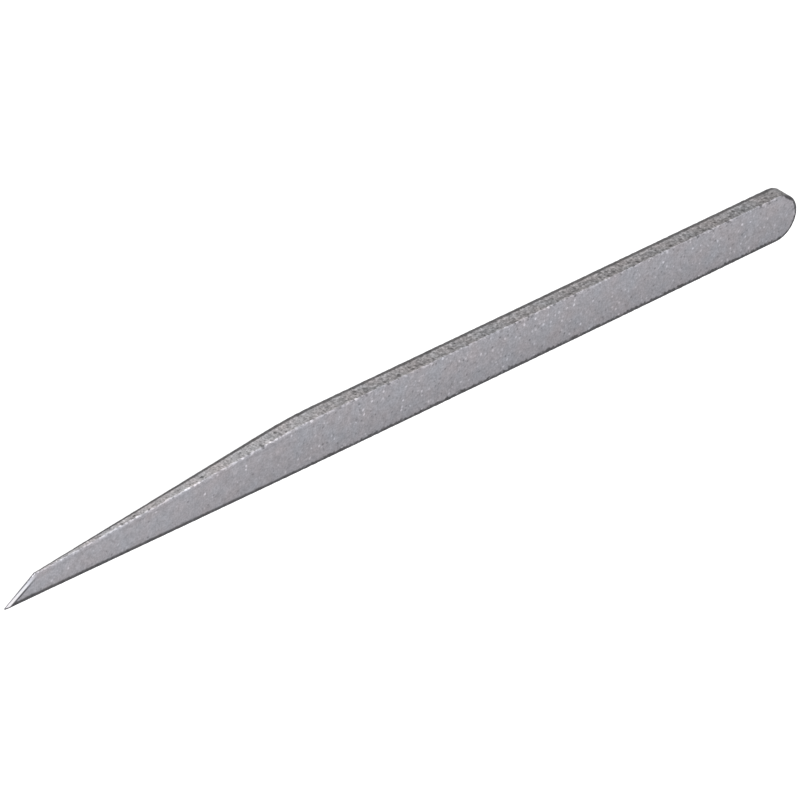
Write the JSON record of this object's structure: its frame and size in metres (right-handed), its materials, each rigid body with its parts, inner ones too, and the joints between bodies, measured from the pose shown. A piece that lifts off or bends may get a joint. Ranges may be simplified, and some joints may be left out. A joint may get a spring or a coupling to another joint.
{
  "type": "sculpting spatula",
  "caption": "Flat steel hand tool with a rounded butt and a blade that thins and narrows to a skew-cut, bevelled tip, for shaping clay, putty and wax.",
  "frame": {"origin": "centre of the bounding box on the plane of the broad back face that the tool lies on", "axes": "+X along the length from the tip towards the rounded butt, +Y across the width towards the tapered edge, +Z out of the front face"},
  "size_m": [0.18, 0.0092, 0.0034],
  "materials": {
    "blasted_steel": "bead-blasted matt grey on the broad faces, rougher sheared narrow edges, bright ground bevel at the tip"
  },
  "bodies": {
    "root": {"spatula_body": "blasted_steel"}
  },
  "joints": []
}
